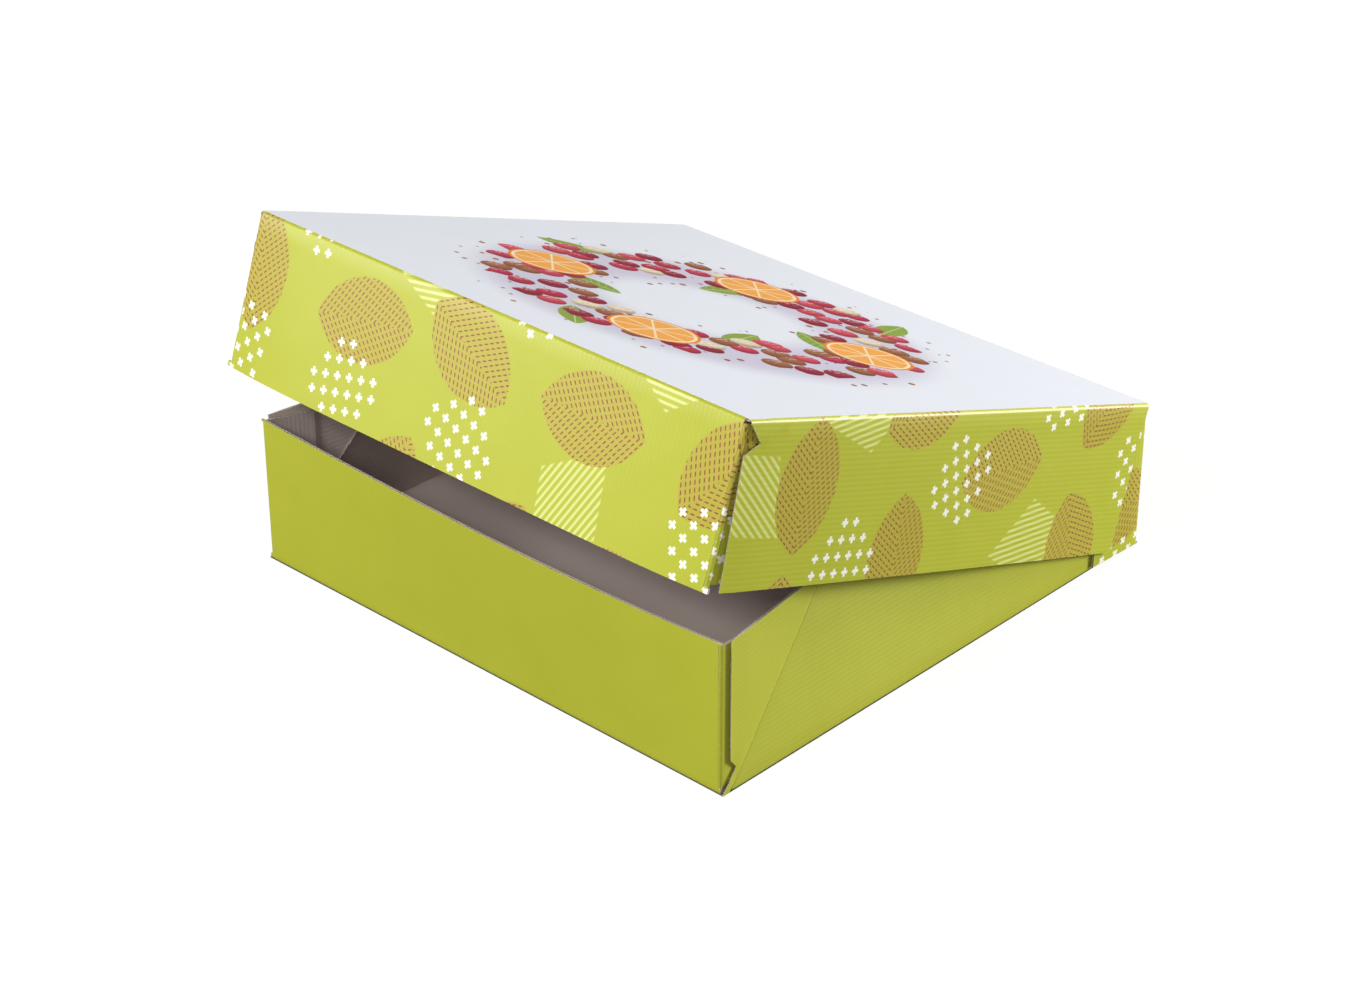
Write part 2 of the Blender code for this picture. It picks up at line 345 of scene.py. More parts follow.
whitePrint = {
    "white": "#eceff6",
    "whiteWarm": "#e9ecf2",
    "ridgeDepth": 0.010 * mm,
    "swellDepth": 0.10 * mm,
    "grainDepth": 0.003 * mm,
    "mottle": 30.0,
    "fibre": 0.7,
    "finish": (0.34, 0.42),
}
wreath = {
    "centre": (0, -130, 0),
    "radius": 67.0,  # millimetres
    "berryCell": 12.6,
    "berryLeast": 5.5,
    "berrySpread": 1.1,
    "berryStray": 0.72,
    "berryBand": 20.0,
    "drupelet": 2.3,
    "drupeletStray": 0.35,
    "crumbCell": 8.0,
    "crumbBand": 36.0,
    "crumbChance": (0.45, 1.0),
    "crumbSize": (-0.4, 1.6),
    "sliceSize": 18.0,
    "slices": 4,
    "sliceTurn": 0.4,  # radians
    "rindWidth": 1.3,
    "pithWidth": 1.3,
    "segments": 8,
    "segmentWall": 0.45,
    "leaves": 7,
    "leafTurn": 0.35,  # share of the step between leaves
    "leafTwist": 0.7,
    "leafLength": 31.0,
    "leafWidth": 12.5,
    "leafReach": 20.0,
    "leafShade": 6.0,
    "ribPitch": 4.0,
    "ribSlant": 0.9,
    "ribHalf": 0.3,
    "shade": "#c9c0d4",
    "shadeShift": (-4.0, 6.0, 0),
    "shadeBand": (12.0, 33.0),
    "shadeMost": 0.75,
    "light": (-0.11, 0.09, 0),  # side that the drawn fruit is lit from
    "fruit": ["#c22c48", "#a01c38", "#d84a58", "#f0e2c2", "#a4683a", "#cc3650"],
    "fruitSeam": "#6a1226",
    "seamBand": (0.3, 0.6),
    "seamMost": 0.25,
    "fruitDark": "#5a1020",
    "darkBand": (0.0, 0.55),
    "darkMost": 0.5,
    "fruitShine": "#fdf1ee",
    "shineBand": (0.72, 0.95),
    "shineMost": 0.55,
    "crumb": "#9a6236",
    "leafGreen": "#8aa53c",
    "leafDeep": "#5f7d28",
    "leafVein": "#c8d08a",
    "rind": "#ea8a2c",
    "pith": "#fbe6bd",
    "flesh": "#f49c3a",
    "fleshPale": "#f8b95c",
}


def ringDistance(tree, place):
    # how far a place lies from a circle round the wreath's centre
    reach = addNode(tree, "VectorMath", {"operation": "DISTANCE"}, {0: place, 1: wreath["centre"]})
    off = addNode(tree, "Math", {"operation": "SUBTRACT"}, {0: reach.outputs["Value"], 1: wreath["radius"]})
    return addNode(tree, "Math", {"operation": "ABSOLUTE"}, {0: off})


def seenFromRing(tree, place, radius, angle):
    # the place as it lies from a point on a circle round the wreath's centre
    centre = (radius * math.cos(angle), wreath["centre"][1] + radius * math.sin(angle), 0)
    return addNode(tree, "VectorMath", {"operation": "SUBTRACT"}, {0: place, 1: centre})


def drawSlice(tree, place, colour, angle):
    # a cut orange: rind, pith and segments
    size = wreath["sliceSize"]
    around = seenFromRing(tree, place, wreath["radius"], angle)
    reach = addNode(tree, "VectorMath", {"operation": "LENGTH"}, {0: around}).outputs["Value"]
    axes = addNode(tree, "SeparateXYZ", {}, {0: around})
    bearing = addNode(tree, "Math", {"operation": "ARCTAN2"}, {0: axes.outputs[1], 1: axes.outputs[0]})
    turn = addNode(tree, "Math", {"operation": "PINGPONG"}, {0: bearing, 1: math.pi / wreath["segments"]})
    arc = addNode(tree, "Math", {"operation": "MULTIPLY"}, {0: turn, 1: reach})
    wall = softStep(tree, arc, wreath["segmentWall"], 0.2)
    pulp = addNode(tree, "TexNoise", {}, {"Vector": around, "Scale": 0.8, "Detail": 3})
    flesh = printOver(tree, pulp, wreath["flesh"], wreath["fleshPale"])
    cut = printOver(tree, wall, flesh, wreath["pith"])
    inFlesh = softStep(tree, reach, size - wreath["rindWidth"] - wreath["pithWidth"], 0.25)
    cut = printOver(tree, inFlesh, wreath["pith"], cut)
    inPith = softStep(tree, reach, size - wreath["rindWidth"], 0.15)
    cut = printOver(tree, inPith, wreath["rind"], cut)
    return printOver(tree, softStep(tree, reach, size, 0.15), colour, cut)


def drawWreathLeaf(tree, place, colour, angle, outwards):
    # one mint leaf, pointing out of the ring or into it
    around = seenFromRing(tree, place, wreath["radius"] + outwards * wreath["leafReach"], angle)
    turned = addNode(tree, "VectorRotate", {"rotation_type": "Z_AXIS"}, {
        "Vector": around, "Angle": -angle - outwards * wreath["leafTwist"]})
    leaf, along, aside = drawLeaf(tree, turned, wreath["leafLength"], wreath["leafWidth"])
    slant = addNode(tree, "Math", {"operation": "MULTIPLY_ADD"}, {
        0: aside, 1: -wreath["ribSlant"], 2: along})
    rib = addNode(tree, "Math", {"operation": "PINGPONG"}, {0: slant, 1: wreath["ribPitch"] / 2})
    ribs = overlap(tree, softStep(tree, rib, wreath["ribHalf"], 0.25), 0.5)
    middle = softStep(tree, aside, wreath["ribHalf"], 0.15)
    vein = addNode(tree, "Math", {"operation": "MAXIMUM"}, {0: ribs, 1: middle})
    shade = grade(tree, aside, (0.0, wreath["leafShade"]), (0.15, 0.0))
    green = printOver(tree, shade, wreath["leafGreen"], wreath["leafDeep"])
    green = printOver(tree, vein, green, wreath["leafVein"])
    return printOver(tree, leaf, colour, green)


def drawBerries(tree, place, colour):
    # round fruit in a band, each whole: shaded as a ball, with the drupelets of a raspberry
    spots = addNode(tree, "TexVoronoi", {"voronoi_dimensions": "2D"}, {
        "Vector": place, "Scale": 1 / wreath["berryCell"], "Randomness": wreath["berryStray"]})
    chance = addNode(tree, "SeparateColor", {}, {0: spots.outputs["Color"]})
    around = addNode(tree, "VectorMath", {"operation": "SUBTRACT"}, {0: place, 1: spots.outputs["Position"]})
    reach = addNode(tree, "VectorMath", {"operation": "LENGTH"}, {0: around}).outputs["Value"]
    size = addNode(tree, "Math", {"operation": "MULTIPLY_ADD"}, {
        0: chance, 1: wreath["berrySpread"], 2: wreath["berryLeast"]})
    share = addNode(tree, "Math", {"operation": "DIVIDE"}, {0: reach, 1: size})
    berry = softStep(tree, share, 1.0, 0.03)
    fromRing = ringDistance(tree, spots.outputs["Position"])
    berry = overlap(tree, berry, softStep(tree, fromRing, wreath["berryBand"], sharp))

    pick = addNode(tree, "ValToRGB", {}, {0: chance.outputs[1]})
    pick.color_ramp.interpolation = "CONSTANT"
    for step, code in enumerate(wreath["fruit"]):
        if step > 1:
            pick.color_ramp.elements.new(step / len(wreath["fruit"]))
        pick.color_ramp.elements[step].position = step / len(wreath["fruit"])
        pick.color_ramp.elements[step].color = hexColour(code)

    square = addNode(tree, "Math", {"operation": "POWER"}, {0: share, 1: 2.0})
    height = addNode(tree, "Math", {"operation": "SUBTRACT"}, {0: 1.0, 1: square})
    facing = addNode(tree, "Math", {"operation": "SQRT"}, {0: height})
    lit = addNode(tree, "VectorMath", {"operation": "DOT_PRODUCT"}, {
        0: around, 1: wreath["light"]}).outputs["Value"]
    light = addNode(tree, "Math", {"operation": "MULTIPLY_ADD"}, {0: facing, 1: 0.6, 2: lit})
    grains = addNode(tree, "TexVoronoi", {"voronoi_dimensions": "2D"}, {
        "Vector": place, "Scale": 1 / wreath["drupelet"], "Randomness": wreath["drupeletStray"]})
    dark = grade(tree, light, wreath["darkBand"], (wreath["darkMost"], 0.0))
    seams = grade(tree, grains, wreath["seamBand"], (0.0, wreath["seamMost"]))
    shine = grade(tree, light, wreath["shineBand"], (0.0, wreath["shineMost"]))
    shine = overlap(tree, shine, softStep(tree, grains, 0.3, 0.15))
    fruit = printOver(tree, seams, pick, wreath["fruitSeam"])
    fruit = printOver(tree, dark, fruit, wreath["fruitDark"])
    fruit = printOver(tree, shine, fruit, wreath["fruitShine"])
    return printOver(tree, berry, colour, fruit)


def drawCrumbs(tree, place, colour):
    # crumbs and seeds strewn about the ring
    spots = addNode(tree, "TexVoronoi", {"voronoi_dimensions": "2D"}, {
        "Vector": place, "Scale": 1 / wreath["crumbCell"], "Randomness": 1.0})
    chance = addNode(tree, "SeparateColor", {}, {0: spots.outputs["Color"]})
    reach = addNode(tree, "VectorMath", {"operation": "DISTANCE"}, {0: place, 1: spots.outputs["Position"]})
    size = grade(tree, chance, wreath["crumbChance"], wreath["crumbSize"])
    off = addNode(tree, "Math", {"operation": "SUBTRACT"}, {0: reach.outputs["Value"], 1: size})
    fromRing = ringDistance(tree, spots.outputs["Position"])
    near = softStep(tree, fromRing, wreath["crumbBand"], sharp)
    crumb = overlap(tree, softStep(tree, off, 0.0, 0.12), near)
    return printOver(tree, crumb, colour, wreath["crumb"])


def printWreath(tree, place, colour):
    # a ring of berries, orange slices and mint, laid down back to front
    cast = addNode(tree, "VectorMath", {"operation": "ADD"}, {0: place, 1: wreath["shadeShift"]})
    near, far = wreath["shadeBand"]
    fromRing = ringDistance(tree, cast)
    depth = addNode(tree, "MapRange", {"interpolation_type": "SMOOTHSTEP"}, {
        0: fromRing, 1: near, 2: far, 3: wreath["shadeMost"], 4: 0.0})
    colour = printOver(tree, depth, colour, wreath["shade"])
    colour = drawCrumbs(tree, place, colour)
    for step in range(wreath["leaves"]):
        angle = (step + wreath["leafTurn"]) * 2 * math.pi / wreath["leaves"]
        colour = drawWreathLeaf(tree, place, colour, angle, 1 if step % 2 else -1)
    colour = drawBerries(tree, place, colour)
    for step in range(wreath["slices"]):
        angle = wreath["sliceTurn"] + step * 2 * math.pi / wreath["slices"]
        colour = drawSlice(tree, place, colour, angle)
    return colour


def whiteBoard():
    # bleached top liner, fruit wreath in process inks, varnished: cool white with a satin sheen
    material, tree, shader = newMaterial("varnished_white_board", {"IOR": 1.5})
    place = blankPlace(tree)
    uneven, fibre = fluteRelief(tree, place, shader, whitePrint)
    colour = printOver(tree, uneven, whitePrint["white"], whitePrint["whiteWarm"])
    colour = printWreath(tree, place, colour)
    tree.links.new(colour, shader.inputs["Base Color"])
    setRoughness(tree, shader, fibre, whitePrint["finish"])
    return material


linerPaper = {
    # painted light: both taupes are paler than the liner itself, so that the shaded inside of the box reads
    # brighter
    "taupe": "#c6b6ae",
    "taupeDeep": "#bbaaa2",
    "ridgeDepth": 0.016 * mm,
    "swellDepth": 0.10 * mm,
    "grainDepth": 0.010 * mm,
    "mottle": 30.0,
    "fibre": 0.9,
    "fleck": "#b5a79c",
    "fleckBand": (0.62, 0.72),
    "fleckMost": 0.35,
}


def taupeLiner():
    # recycled brown inner liner, uncoated: dull, faintly flecked; its taupe is painted paler, as light for
    # the shaded inside
    material, tree, shader = newMaterial("uncoated_taupe_liner", {"IOR": 1.45, "Roughness": 0.85})
    place = blankPlace(tree)
    uneven, fibre = fluteRelief(tree, place, shader, linerPaper)
    tint = printOver(tree, uneven, linerPaper["taupe"], linerPaper["taupeDeep"])
    fleck = grade(tree, fibre, linerPaper["fleckBand"], (0.0, linerPaper["fleckMost"]))
    colour = printOver(tree, fleck, tint, linerPaper["fleck"])
    tree.links.new(colour, shader.inputs["Base Color"])
    return material


rawEdge = {
    "paper": "#e2d8c3",
    # painted shade: the dark inside the open flute tunnels, which are not modelled
    "shadedHollow": "#8a7c66",
    "linerShare": 0.16,  # of the board's thickness
    "mediumHalf": 0.11,
    "waveHeight": 0.3,
    "dip": 0.2 * mm,
}


def rawBoardEdge():
    # die-cut edge: two pale liners with the wave of the fluting between them, and painted shade in the open
    # flutes
    material, tree, shader = newMaterial("die_cut_flute_edge", {"IOR": 1.45, "Roughness": 0.9})
    place = blankPlace(tree)
    middle = addNode(tree, "Math", {"operation": "MULTIPLY_ADD"}, {
        0: fluteWave(tree, place), 1: rawEdge["waveHeight"], 2: 0.5})
    layer = addNode(tree, "Attribute", {"attribute_name": "layer"}).outputs["Fac"]
    gap = addNode(tree, "Math", {"operation": "SUBTRACT"}, {0: layer, 1: middle})
    off = addNode(tree, "Math", {"operation": "ABSOLUTE"}, {0: gap})
    medium = softStep(tree, off, rawEdge["mediumHalf"], 0.04)
    fromCore = addNode(tree, "Math", {"operation": "SUBTRACT"}, {0: layer, 1: 0.5})
    outward = addNode(tree, "Math", {"operation": "ABSOLUTE"}, {0: fromCore})
    shadedHollow = softStep(tree, outward, 0.5 - rawEdge["linerShare"], 0.03)
    solid = addNode(tree, "Math", {"operation": "SUBTRACT"}, {0: 1.0, 1: shadedHollow})
    paper = addNode(tree, "Math", {"operation": "MAXIMUM"}, {0: medium, 1: solid})
    colour = printOver(tree, paper, rawEdge["shadedHollow"], rawEdge["paper"])
    tree.links.new(colour, shader.inputs["Base Color"])
    dip = addNode(tree, "Bump", {}, {"Height": paper, "Distance": rawEdge["dip"]})
    tree.links.new(dip.outputs[0], shader.inputs["Normal"])
    return material


hotMelt = {
    "milk": "#e6e0d2",
    "milkDeep": "#d8cfba",
    "lumpsPerMetre": 400,
    "lumpDepth": 0.05 * mm,
}


def driedGlue():
    # hot-melt line squeezed flat: milky, smooth, a little lumpy
    material, tree, shader = newMaterial("dried_hot_melt", {"IOR": 1.48, "Roughness": 0.35})
    own = addNode(tree, "TexCoord").outputs["Object"]
    lumps = addNode(tree, "TexNoise", {}, {"Vector": own, "Scale": hotMelt["lumpsPerMetre"], "Detail": 2})
    colour = printOver(tree, lumps, hotMelt["milk"], hotMelt["milkDeep"])
    tree.links.new(colour, shader.inputs["Base Color"])
    relief = addNode(tree, "Bump", {}, {"Height": lumps, "Distance": hotMelt["lumpDepth"]})
    tree.links.new(relief.outputs[0], shader.inputs["Normal"])
    return material


plainLime = plainLimeBoard()
printedLime = printedLimeBoard()
lidWhite = whiteBoard()
liner = taupeLiner()
edge = rawBoardEdge()
glue = driedGlue()
print("materials made:", len(bpy.data.materials))


# Modelling: each panel starts as a flat sheet, printed side up, as it lies on the blank

def selectOnly(piece):
    bpy.ops.object.select_all(action="DESELECT")
    piece.select_set(True)
    bpy.context.view_layer.objects.active = piece


def layBlank(name, outline):
    along = [corner[0] for corner in outline]
    up = [corner[1] for corner in outline]
    wide, tall = max(along) - min(along), max(up) - min(up)
    bpy.ops.object.select_all(action="DESELECT")
    bpy.ops.mesh.primitive_grid_add(
        x_subdivisions=max(1, round(wide / board["cell"])),
        y_subdivisions=max(1, round(tall / board["cell"])),
        size=1,
        location=(min(along) + wide / 2, min(up) + tall / 2, 0),
    )
    sheet = bpy.context.object
    sheet.name = name
    sheet.data.name = name
    sheet.scale = (wide, tall, 1)
    bpy.ops.object.transform_apply(location=True, rotation=True, scale=True)
    return sheet


def scoreLine(start, end):
    across = (start[1] - end[1], end[0] - start[0], 0)
    bpy.ops.mesh.select_all(action="SELECT")
    bpy.ops.mesh.bisect(plane_co=(*start, 0), plane_no=across, threshold=touching)


def isInside(spot, outline):
    inside = False
    for start, end in zip(outline, outline[1:] + outline[:1]):
        if (start[1] > spot[1]) != (end[1] > spot[1]):
            crossing = start[0] + (spot[1] - start[1]) * (end[0] - start[0]) / (end[1] - start[1])
            if spot[0] < crossing:
                inside = not inside
    return inside


def dieCut(name, outline, scores=()):
    # a sheet cut along each side of the outline and each score, less the waste
    sheet = layBlank(name, outline)
    selectOnly(sheet)
    bpy.ops.object.mode_set(mode="EDIT")
    for start, end in zip(outline, outline[1:] + outline[:1]):
        scoreLine(start, end)
    for start, end in scores:
        scoreLine(start, end)
    bpy.ops.mesh.select_mode(type="FACE")
    bpy.ops.mesh.select_all(action="DESELECT")
    bpy.ops.object.mode_set(mode="OBJECT")
    for face in sheet.data.polygons:
        face.select = not isInside(face.center, outline)
    bpy.ops.object.mode_set(mode="EDIT")
    bpy.ops.mesh.delete(type="FACE")
    bpy.ops.object.mode_set(mode="OBJECT")
    markInner(sheet)
    return sheet


def markInner(sheet):
    # 0 on the sheet's outline, 1 inside it, for wear along folds and cuts
    used = {}
    for face in sheet.data.polygons:
        for key in face.edge_keys:
            used[key] = used.get(key, 0) + 1
    rim = {point for key, count in used.items() if count == 1 for point in key}
    inner = sheet.data.attributes.new("inner", "FLOAT", "POINT")
    for point, value in enumerate(inner.data):
        value.value = 0.0 if point in rim else 1.0


def curlEdge(sheet, isOnLine, steps, angle, centre, axis):
    # rolls the part of the sheet's rim that lies on a line round a centre
    selectOnly(sheet)
    bpy.ops.object.mode_set(mode="EDIT")
    bpy.ops.mesh.select_mode(type="EDGE")
    bpy.ops.mesh.select_all(action="DESELECT")
    bpy.ops.object.mode_set(mode="OBJECT")
    for side in sheet.data.edges:
        side.select = all(isOnLine(sheet.data.vertices[index].co) for index in side.vertices)
    bpy.ops.object.mode_set(mode="EDIT")
    bpy.ops.mesh.spin(steps=steps, angle=angle, center=centre, axis=axis)
    bpy.ops.object.mode_set(mode="OBJECT")


def foldEdge(sheet, start, end, outward):
    # folds the edge between two points down, away from the printed side
    first, last = Vector((*start, 0)), Vector((*end, 0))
    line = (last - first).normalized()

    def isOnFold(point):
        spot = point - first
        run = spot.dot(line)
        isOnLine = (spot - line * run).length < touching
        return isOnLine and -touching <= run <= (last - first).length + touching

    centre = (*start, -board["foldRadius"])
    curlEdge(sheet, isOnFold, board["foldSteps"], math.pi / 2, centre, (outward[1], -outward[0], 0))


def bowSheet(sheet, lift):
    # pushes the sheet out by lift(along, up)
    for point in sheet.data.vertices:
        point.co.z += lift(point.co.x, point.co.y)


def crushCut(sheet, reach):
    # the die squeezes the board thin along the cuts of its front end
    full = sheet.vertex_groups.new(name="full")
    inner = sheet.data.attributes["inner"].data
    for point in sheet.data.vertices:
        crushed = inner[point.index].value == 0 and point.co.x < reach
        full.add([point.index], board["crushed"] if crushed else 1.0, "REPLACE")


def thicken(sheet, outside):
    # one liner each side of the board's middle, raw edge round it
    selectOnly(sheet)
    bpy.ops.object.mode_set(mode="EDIT")
    bpy.ops.mesh.select_all(action="SELECT")
    bpy.ops.mesh.remove_doubles(threshold=touching)
    bpy.ops.object.mode_set(mode="OBJECT")
    topFace = max(sheet.data.polygons, key=lambda face: face.area)
    if topFace.normal.z < 0:
        sheet.data.flip_normals()
    for material in (outside, liner, edge):
        sheet.data.materials.append(material)
    body = sheet.modifiers.new("body", "SOLIDIFY")
    body.thickness = board["thickness"]
    body.offset = 0
    body.material_offset = 1
    body.material_offset_rim = 2
    if "full" in sheet.vertex_groups:
        body.vertex_group = "full"
    bpy.ops.object.modifier_apply(modifier=body.name)


def markBoard(sheet, flutesAlong, blankCorner, mirrored=False):
    # records each point's place on the blank and which liner it lies on
    mesh = sheet.data
    layer = mesh.attributes.new("layer", "FLOAT", "POINT")
    for face in mesh.polygons:
        if face.material_index == 0:
            for point in face.vertices:
                layer.data[point].value = 1.0
    blank = mesh.uv_layers.new(name="blank")
    for loop, place in zip(mesh.loops, blank.data):
        along, up, height = mesh.vertices[loop.vertex_index].co
        if flutesAlong:
            along, up = up, along
        if mirrored:
            along = -along
        place.uv = (blankCorner[0] + along, blankCorner[1] + up)


def standUp(sheet, turn, place, onLid=False):
    sheet.matrix_world = Matrix.Translation(place) @ sheet.matrix_world @ turnMatrix(turn)
    if onLid:
        sheet.matrix_world = Matrix.Translation(hinge) @ Matrix.Rotation(lidTilt, 4, "X") @ sheet.matrix_world
    selectOnly(sheet)
    bpy.ops.object.transform_apply(location=True, rotation=True, scale=True)
    bpy.ops.object.shade_smooth_by_angle(angle=board["smoothAngle"])


def turnMatrix(turn):
    tip, lean, swing = turn
    return Matrix.Rotation(swing, 4, "Z") @ Matrix.Rotation(lean, 4, "Y") @ Matrix.Rotation(tip, 4, "X")


def mirrorCopy(piece, name):
    # the same panel for the left side, with its own mesh
    copy = piece.copy()
    copy.data = piece.data.copy()
    copy.name = name
    copy.data.name = name
    bpy.context.scene.collection.objects.link(copy)
    copy.scale.x = -1
    selectOnly(copy)
    bpy.ops.object.transform_apply(location=True, rotation=True, scale=True)
    bpy.ops.object.mode_set(mode="EDIT")
    bpy.ops.mesh.select_all(action="SELECT")
    bpy.ops.mesh.normals_make_consistent(inside=False)
    bpy.ops.object.mode_set(mode="OBJECT")
    return copy


def settle(piece, body, slot, *nodes):
    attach(piece, body)
    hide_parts(*nodes)


def settlePair(piece, body, slot, node):
    # the right-hand piece and its mirror image
    left = mirrorCopy(piece, piece.name.replace("right", "left"))
    settle(left, body, slot, node + "_left")
    settle(piece, body, slot, node + "_right")


def heightsOf(node):
    return [corner.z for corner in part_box(node)]


def shareAlong(value, low, high):
    return min(1.0, max(0.0, (value - low) / (high - low)))


# Tray

half = board["thickness"] / 2
fold = board["foldRadius"]
onBlank = {
    # metres, where each sheet's own print starts
    "front": (0, -0.3),
    "rear": (0, 0.07),
    "bottom": (0, 0),
    "side": (0.13, 0),
    "frontFlap": (0.13, 0.3),
    "rearFlap": (0.13, 0.07),
}
walls = {
    "front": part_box("front_wall")[0].y + half,  # middle of the board
    "rear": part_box("rear_wall")[1].y - half,
    "side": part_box("side_wall_right")[1].x - half,
    "top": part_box("front_wall")[1].z,
    "floor": half,
    "frontBow": 4.1 * mm,  # of the front wall's top edge
    "frontBowLean": 0.3,
    "frontBowPower": 1.3,
    "rearBow": 0.5 * mm,
}
flapMiddle = {
    "front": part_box("front_flap_right")[1].x - half,
    "rear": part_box("rear_flap_right")[1].x - half,
    "lid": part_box("lid_flap_right")[1].x - half,
}


def tabbedWall(tabEnd, wallEnd, foot, top, tabFoot, tabTop):
    # a wall between two flaps, with the small ears above and below each fold
    right = [
        (tabEnd, foot), (tabEnd, tabFoot), (wallEnd, tabFoot),
        (wallEnd, tabTop), (tabEnd, tabTop), (tabEnd, top)]
    left = [(-along, up) for along, up in reversed(right)]
    return right + left


def frontLift(along, up):
    # the front wall bulges most at its free top edge, a little right of its middle
    reach = flapMiddle["front"]
    across = max(0.0, 1 - (along / reach) ** 2) * (1 + walls["frontBowLean"] * along / reach)
    rise = shareAlong(up, walls["floor"], walls["top"])
    return walls["frontBow"] * across * rise ** walls["frontBowPower"]


def rearLift(along, up):
    across = max(0.0, 1 - (along / flapMiddle["rear"]) ** 2)
    return walls["rearBow"] * across * math.sin(math.pi * shareAlong(up, walls["floor"], walls["top"]))


def makeEndWall(end, lift, ink, turn, slot):
    # the front or rear wall, folded up from the bottom
    low, high = heightsOf(end + "_flap_right")
    foot = walls["floor"] + fold
    outline = tabbedWall(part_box(end + "_wall")[1].x, flapMiddle[end] - fold, foot, walls["top"], low, high)
    sheet = dieCut(end + "_wall_board", outline)
    foldEdge(sheet, (-walls["side"], foot), (walls["side"], foot), (0, -1))
    bowSheet(sheet, lift)
    thicken(sheet, ink)
    markBoard(sheet, False, onBlank[end])
    standUp(sheet, turn, (0, walls[end], 0))
    settle(sheet, "tray", slot, end + "_wall")


def makeBottom():
    across, along = walls["side"] - fold, walls["rear"] - fold
    outline = [(-across, -along), (across, -along), (across, along), (-across, along)]
    sheet = dieCut("bottom_board", outline)
    thicken(sheet, plainLime)
    markBoard(sheet, False, onBlank["bottom"])
    standUp(sheet, faceDown, (0, 0, walls["floor"]))
    settle(sheet, "tray", "tray_inside", "bottom_panel")


gusset = {
    "seam": 4.3 * mm,  # cut edge, behind the corner
    "notchDepth": 7.8 * mm,
    "notchTip": 9.2 * mm,
    "notchTop": 13.5 * mm,
    "foot": 4.0 * mm,  # where the slanting crease starts
    "head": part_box("corner_gusset_right")[1].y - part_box("front_wall")[0].y,
    "lean": 0.148,  # inwards for each metre back, folded a little past square
    "heldFrom": 100 * mm,  # where the side wall starts to come back upright
    "heldAt": 218 * mm,
    "groove": 0.25 * mm,
    "grooveHalf": 1.125 * mm,  # of its width, along the wall
    "grooveRows": (-1.0, -0.5, 0.5, 1.0),
    "glueStart": 7.65 * mm,
    "glueEnd": 17.65 * mm,
    "glueThickness": 0.2 * mm,
}


def creaseAt(up):
    return gusset["foot"] + (gusset["head"] - gusset["foot"]) * up / walls["top"]


def creaseScores():
    # fine rows each side of the slanting crease, for its groove
    offsets = [share * gusset["grooveHalf"] for share in gusset["grooveRows"]]
    return [((gusset["foot"] + off, 0), (gusset["head"] + off, walls["top"])) for off in offsets]


def grooveDip(along, up):
    off = abs(along - creaseAt(up)) / gusset["grooveHalf"]
    return -gusset["groove"] * max(0.0, 1 - off) ** 2


def leanIn(along, up=0):
    return -gusset["lean"] * max(0.0, along - gusset["seam"])


def gussetLift(along, up):
    return leanIn(along) + grooveDip(along, up)


def sideLift(along, up):
    # drawn in along the crease, twisting back upright to where the rear flap holds it
    held = shareAlong(along, gusset["heldFrom"], gusset["heldAt"])
    drawn = 1 - held * held * (3 - 2 * held)
    return leanIn(creaseAt(up)) * drawn + grooveDip(along, up)


def makeSideWalls():
    foot = walls["floor"] + fold
    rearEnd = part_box("side_wall_right")[1].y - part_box("front_wall")[0].y
    top = walls["top"]
    outline = [(creaseAt(foot), foot), (rearEnd, foot), (rearEnd, top), (gusset["head"], top)]
    sheet = dieCut("side_board_right", outline, creaseScores())
    foldEdge(sheet, (0, foot), (rearEnd, foot), (0, -1))
    bowSheet(sheet, sideLift)
    thicken(sheet, plainLime)
    markBoard(sheet, True, onBlank["side"])
    standUp(sheet, faceRight, (walls["side"], walls["front"] - half, 0))
    settlePair(sheet, "tray", "plain_lime", "side_wall")


def makeGussets():
    outline = [
        (0, 0),
        (gusset["foot"], 0),
        (gusset["head"], walls["top"]),
        (gusset["seam"], walls["top"]),
        (gusset["seam"], gusset["notchTop"]),
        (gusset["notchDepth"], gusset["notchTip"]),
    ]
    inset = gusset["seam"] + board["crushWidth"]
    sheet = dieCut("gusset_board_right", outline, creaseScores() + [((inset, 0), (inset, walls["top"]))])
    crushCut(sheet, gusset["notchDepth"] + mm)
    bowSheet(sheet, gussetLift)
    thicken(sheet, plainLime)
    markBoard(sheet, True, onBlank["side"])
    standUp(sheet, faceRight, (walls["side"], walls["front"] - half, 0))
    settlePair(sheet, "tray", "plain_lime", "corner_gusset")


trayFlap = {
    "frontWidth": 24 * mm,
    "frontFootRise": 3.0 * mm,
    "frontKnee": (5.0 * mm, 4.2 * mm),  # covers the slit behind the notch
    "rearWidth": 30 * mm,
    "taper": 4 * mm,
    "footTaper": 1.2 * mm,
}


def makeFrontFlaps():
    low, high = heightsOf("front_flap_right")
    near, far = half + fold, trayFlap["frontWidth"]
    steepness = walls["top"] / (gusset["head"] - gusset["foot"])
    farLow = (far - gusset["foot"]) * steepness + trayFlap["frontFootRise"]
    farHigh = walls["top"] - trayFlap["taper"]
    outline = [(near, low), trayFlap["frontKnee"], (far, farLow), (far, farHigh), (near, high)]
    sheet = dieCut("front_flap_board_right", outline)
    foldEdge(sheet, (near, low), (near, high), (-1, 0))
    bowSheet(sheet, leanIn)
    thicken(sheet, plainLime)
    markBoard(sheet, False, onBlank["frontFlap"])
    standUp(sheet, faceRight, (flapMiddle["front"], walls["front"] - half, 0))
    settlePair(sheet, "tray", "plain_lime", "front_flap")


